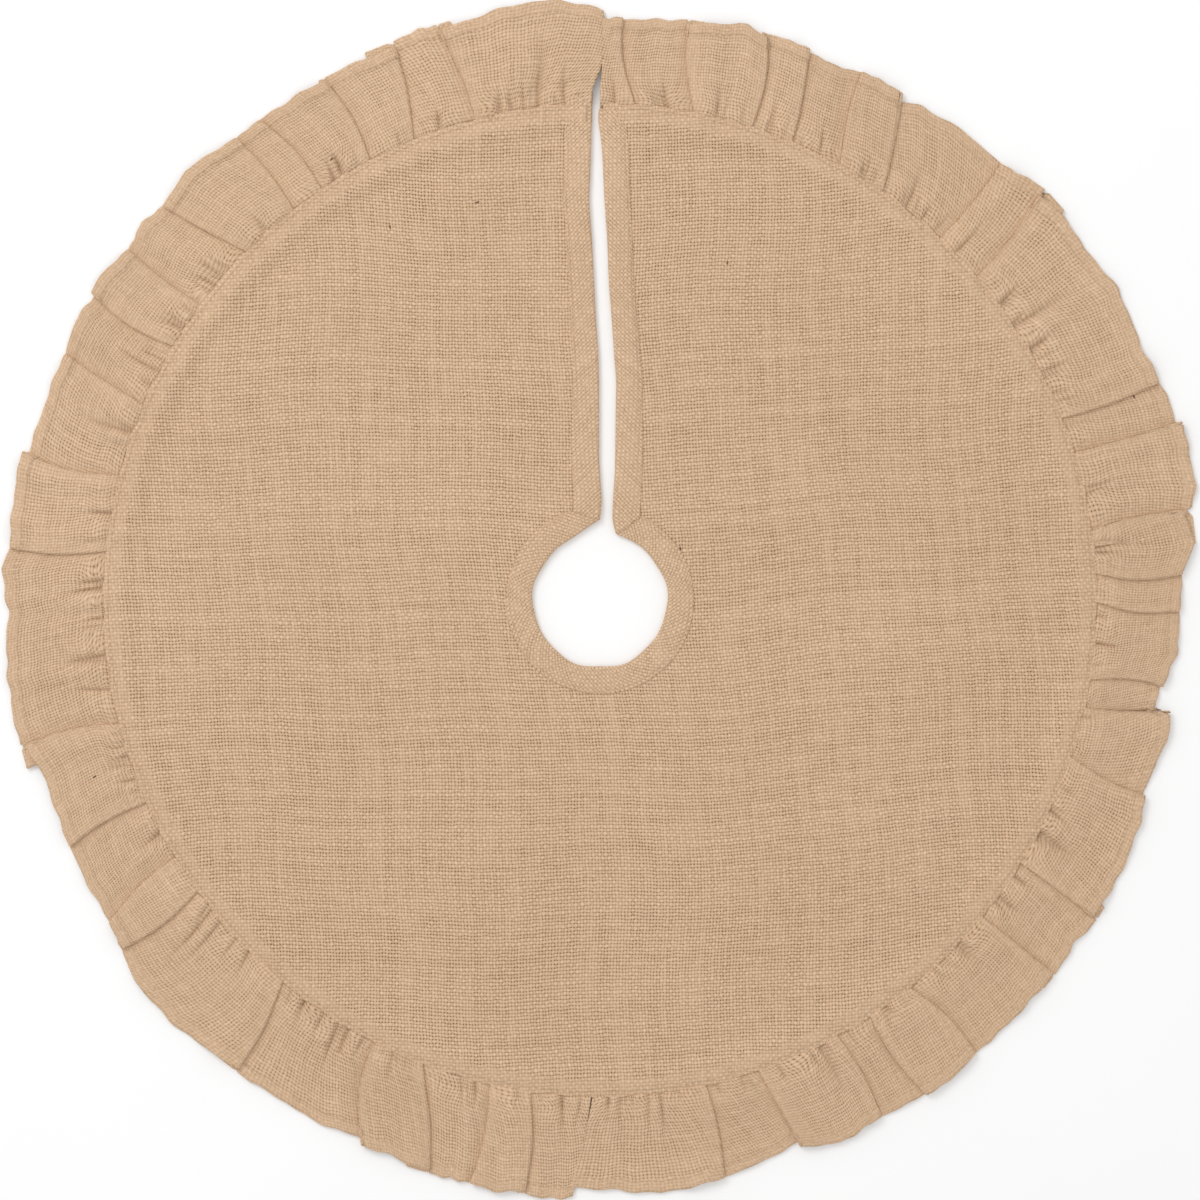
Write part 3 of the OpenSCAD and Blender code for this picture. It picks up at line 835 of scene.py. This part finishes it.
def holeBinding(name, side):
    # Half of the ring: a turn about the hole from the middle line at the rear to the mitre at the slit
    inward, height, length = bindingSection()
    neck = binding["neckLeft"] if side < 0 else binding["neckRight"]
    corner = binding["cornerLeft"] if side < 0 else binding["cornerRight"]
    neckAngle, cornerAngle = (math.atan2(p[1], p[0]) for p in (neck, corner))
    stop = neckAngle + (cornerAngle - neckAngle) * inward
    rear = (1.5 * math.pi if side < 0 else -0.5 * math.pi) + meeting["past"] / binding["runRadius"]
    share = np.linspace(0, 1, 130)[:, None]
    first, last = (stop, rear) if side < 0 else (rear, stop)
    angle = withTuck(first + (last - first) * share, side, binding["runRadius"] + 0 * inward)
    inner = holeEdge(side, angle) + 0.35 * np.sin(angle * 5 + side) + 0.25 * np.sin(angle * 9)
    radius = inner + inward * (skirt["ringRadius"] + 0.2 - inner)
    run = (angle + 2 * math.pi * (side > 0)) * binding["runRadius"]
    z = tuckDrop(side, height + 0.09 * np.sin(run / 1.9 + 3 * inward) * (height > 1.4))
    middle = np.stack([radius * np.cos(angle), radius * np.sin(angle), z], -1)
    thickness = np.full(angle.shape, binding["thickness"])
    piece = clothShell(name, middle, thickness, biasMap(run, length[None], -1),
                       (0.6, 0, 1, 1) if side < 0 else (0, 0.6, 1, 1))
    return piece, flatSize(middle, length)


def slitBinding(name, side):
    # The strip beside the slit: across it the folded edge follows the slit, down it ends in the mitre
    inward, height, length = bindingSection()
    neck = binding["neckLeft"] if side < 0 else binding["neckRight"]
    corner = binding["cornerLeft"] if side < 0 else binding["cornerRight"]
    foot = neck[1] + (corner[1] - neck[1]) * inward - 0.9 * smoothStep(0.05, 0.3, inward)
    share = np.linspace(0, 1, 150)[:, None]
    y = foot + (slit["leftTop" if side < 0 else "rightTop"] - foot) * share
    x = slitEdge(side, y) + side * inward * (binding["width"] + 0.6 * np.sin(y / 31.0))
    overRing = 0.5 * bell(y - foot, 7.0) * (height > 1.4)
    z = height + overRing + 0.09 * np.sin(y / 2.1 + 2 * inward) * (height > 1.4)
    if side > 0:
        x, y, z = x[::-1], y[::-1], z[::-1]
    middle = np.stack([x, y, np.broadcast_to(z, y.shape)], -1)
    piece = clothShell(name, middle, np.full(y.shape, binding["thickness"]),
                       biasMap(y, length[None], 1), (0.6, 0.6, 1, 1))
    return piece, flatSize(middle, length)


def finishPiece(piece, material, nodes, body, flap=None):
    # Gives a piece its material and hides the nodes it stands for; a piece with no flap is attached to its body,
    # one with a flap has its placement baked into its mesh
    piece.data.materials.clear()
    piece.data.materials.append(material)
    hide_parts(*nodes)
    if flap is None:
        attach(piece, body)
    else:
        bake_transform(piece)


strips = {"left": makeStrip(leftStrip, 1), "right": makeStrip(rightStrip, 2)}
# The panel's cut: half a disc as wide as the seam and its allowance, less half the hole
for name, side in (("left", -1), ("right", 1)):
    flap = name + "_flap"
    cloth = panelHalf(name + "PanelCloth", side)
    finishPiece(cloth, panelBurlap, [name + "_panel", "rear_panel"], "rear_half", flap)
    strip = strips[name]
    frill = clothShell(name + "RuffleCloth", strip["middle"], strip["thickness"], strip["weaveMap"])
    finishPiece(frill, ruffleBurlap, [name + "_ruffle", "rear_" + name + "_ruffle"],
                "rear_half", flap)
    ring, ringFlat = holeBinding(name + "HoleBinding", side)
    finishPiece(ring, bindingBurlap, [name + "_hole_binding", "rear_hole_binding"],
                "rear_half", flap)
    edge, edgeFlat = slitBinding(name + "SlitBinding", side)
    finishPiece(edge, bindingBurlap, [name + "_slit_binding"], flap)
    print(name, "cloth made, ruffle strip", round(strip["length"]), "mm long")

stitch = {
    "pitch": 3.1, "fill": 0.84, "radius": 0.17, "sink": -0.16, "bow": 0.06,
    "dip": 0.26,             # the binding's top is this much lower at its stitches
    "fromBinding": 1.3,      # distance of the stitches from the binding's outer edge
    "fromSeam": 2.0,         # and inside the seam
}
gathering = {"height": 1.62, "radius": 0.1, "wave": 0.06}
overlock = {"height": 0.95, "radius": 0.16, "reach": 1.5, "rise": 0.75}
upwards = np.array([0.0, 0.0, 1.0])


def ringPath(side, radius, height, slitGap, count=400):
    # A turn about the hole from the slit to the middle line at the rear
    start = math.acos((slitEdge(side, radius) + side * slitGap) / radius)
    angle = np.linspace(start, 1.5 * math.pi if side < 0 else -0.5 * math.pi, count)
    x, y = radius * np.cos(angle), radius * np.sin(angle)
    return np.stack([x, y, height(x, y)], -1)


def finishThread(piece, name, kind, rear="rear"):
    material = overlockThread if kind == "overlock" else sewingThread
    nodes = [f"{name}_{kind}_thread", f"{rear}_{kind}_thread"]
    finishPiece(piece, material, nodes, "rear_half", name + "_flap")


for name, side in (("left", -1), ("right", 1)):
    top = binding["topLayer"] + binding["thickness"] / 2 - stitch["dip"]
    inFromEdge = binding["width"] - stitch["fromBinding"]
    ringStitch = ringPath(side, skirt["ringRadius"] - stitch["fromBinding"], lambda x, y: 0 * x + top,
                          inFromEdge, 160)
    climb = np.linspace(41.5, slit[name + "Top"] - 1, 160)
    slitStitch = np.stack([slitEdge(side, climb) + side * inFromEdge, climb, 0 * climb + top], -1)
    path = np.concatenate([slitStitch[::-1], ringStitch])
    row = stitchRow(name + "BindingStitches", path, np.tile(upwards, (len(path), 1)), stitch)
    finishThread(row, name, "binding")

    path = ringPath(side, seamRadius - stitch["fromSeam"],
                    lambda x, y: panelHeight(x, y) + panel["thickness"] / 2, binding["width"] + 0.5)
    row = stitchRow(name + "SeamStitches", path, np.tile(upwards, (len(path), 1)), stitch)
    finishThread(row, name, "seam")

    strip = strips[name]
    column = int(np.argmin(np.abs(strip["across"] - ruffle["hemStart"] + 0.01)))
    normals = stripNormals(strip)[:, column]
    path = strip["middle"][:, column] + normals * strip["thickness"][:, column, None] / 2
    row = stitchRow(name + "HemStitches", path, normals, stitch)
    finishThread(row, name, "hem", "rear_" + name)

    middleRadius = (seamRadius + skirt["headingRadius"]) / 2
    path = ringPath(side, middleRadius, lambda x, y: 0 * x + gathering["height"], 1.0, 900)
    path[:, 2] += gathering["wave"] * np.sin(np.arange(len(path)) * 0.9)
    row = looseThread(name + "GatheringThread", path, gathering["radius"])
    finishThread(row, name, "gathering")

    # Overlocking: a thread that zigzags over the allowance's cut edge
    path = ringPath(side, skirt["headingRadius"] + 0.6, lambda x, y: 0 * x + overlock["height"],
                    binding["width"] + 1.5, 2200)
    swing = np.arange(len(path)) * math.pi / 2
    outwardWay = unit(path * np.array([1.0, 1.0, 0.0]))
    path = path + outwardWay * (overlock["reach"] * np.cos(swing))[:, None]
    path[:, 2] += overlock["rise"] * np.sin(swing)
    row = looseThread(name + "OverlockThread", path, overlock["radius"])
    finishThread(row, name, "overlock")

# Bits of stalk caught in the weave, one row each: place, direction in degrees, length, half width
husks = {
    "left": [(-55, 178, 20, 2.2, 0.38), (-94, 167, 95, 2.0, 0.36), (-120, 197, 60, 1.9, 0.34)],
    "right": [(57, 151, 80, 2.1, 0.36), (36, 23, 100, 1.9, 0.34), (239, 91, 110, 2.1, 0.36)],
    "rear": [(-226, -79, 35, 2.0, 0.34)],
}


def clothTop(x, y, strip):
    # The panel's formula inside the seam, and the highest near point of the ruffle outside it
    if math.hypot(x, y) < seamRadius:
        return float(panelHeight(x, y)) + panel["thickness"] / 2
    away = np.hypot(strip["middle"][..., 0] - x, strip["middle"][..., 1] - y)
    return float(np.max((strip["middle"][..., 2] + strip["thickness"] / 2)[away < away.min() + 0.5]))


def huskSlivers(name, bits, strip):
    # Flat slivers that taper to both ends, half sunk in the cloth
    bits = np.array(bits, float)
    share = np.linspace(-1, 1, 7)
    heading = np.radians(bits[:, 2])
    along = np.stack([np.cos(heading), np.sin(heading), 0 * heading], -1)[:, None]
    centres = along * (share * bits[:, 3:4] / 2)[..., None]
    centres[..., :2] += bits[:, None, :2]
    centres[..., 2] = np.array([clothTop(x, y, strip) for x, y in bits[:, :2]])[:, None] + 0.03
    radii = bits[:, 4:5] * np.sqrt(np.maximum(1 - share ** 2, 0.03))
    sideways = np.broadcast_to(np.cross(upwards, along), centres.shape)
    return tubeMesh(name, centres, sideways, np.broadcast_to(0.35 * upwards, centres.shape), radii)


for name, body, strip in (("left", "left_flap", strips["left"]), ("right", "right_flap", strips["right"]),
                          ("rear", "rear_half", strips["left"])):
    flecks = huskSlivers(name + "Husks", husks[name], strip)
    finishPiece(flecks, huskBrown, [name + "_panel"], body)

# The seam that joins the two strips runs straight out from the panel to the hem
join = {"angle": 267.2, "from": seamRadius + 3, "to": 262, "height": 1.1, "points": 40}
joinHeading = math.radians(join["angle"])
joinReach = np.linspace(join["from"], join["to"], join["points"])
joinPath = np.stack([joinReach * math.cos(joinHeading), joinReach * math.sin(joinHeading),
                     np.full(join["points"], join["height"])], -1)
joinRow = stitchRow("ruffleJoinStitches", joinPath, np.tile(upwards, (join["points"], 1)), stitch)
finishPiece(joinRow, sewingThread, ["ruffle_join_thread"], "rear_half")
print("threads made")

studio = {
    "cameraHeight": 1.4933, "lens": 100.0, "world": 0.86,
    "key": 10.0, "keyPlace": (-0.9, 1.0, 1.3), "keySize": 0.8,
    "floorReach": 3000.0, "floorHeight": -0.3,
}


def floorMaterial():
    # Plain pale board with the faintest mottle
    material, tree, shader = newMaterial("paleFloor", 0.9, 0.0, (1, 1, 1))
    place = tree.nodes.new("ShaderNodeTexCoord")
    mottle = noise(tree, place.outputs["Object"], 6.0, 2)
    pale = colourMix(tree, mottle, (0.95, 0.95, 0.95), (0.975, 0.975, 0.975))
    tree.links.new(pale, shader.inputs["Base Color"])
    return material


corners = np.array([(-1, -1, 0), (1, -1, 0), (1, 1, 0), (-1, 1, 0)]) * studio["floorReach"]
corners[:, 2] = studio["floorHeight"]
floor = makeMesh("floor", corners, np.array([[0, 1, 2, 3]]))
floor.data.materials.append(floorMaterial())

world = bpy.data.worlds.new("studioWorld")
world.use_nodes = True
world.node_tree.nodes["Background"].inputs[0].default_value = (1, 1, 1, 1)
world.node_tree.nodes["Background"].inputs[1].default_value = studio["world"]
scene.world = world


def areaLight(name, place, size, power):
    # A square lamp that faces the middle of the floor
    light = bpy.data.lights.new(name, "AREA")
    light.shape = "SQUARE"
    light.size = size
    light.energy = power
    lamp = bpy.data.objects.new(name, light)
    lamp.location = place
    towards = np.array(place) / np.linalg.norm(place)
    lamp.rotation_euler = (math.acos(towards[2]), 0, math.atan2(towards[1], towards[0]) + math.pi / 2)
    lamp.visible_camera = False
    scene.collection.objects.link(lamp)


areaLight("keyLight", studio["keyPlace"], studio["keySize"], studio["key"])

camera = bpy.data.objects.new("camera", bpy.data.cameras.new("camera"))
camera.data.lens = studio["lens"]
camera.data.sensor_width = 36.0
camera.location = (0, 0, studio["cameraHeight"])
scene.collection.objects.link(camera)
scene.camera = camera
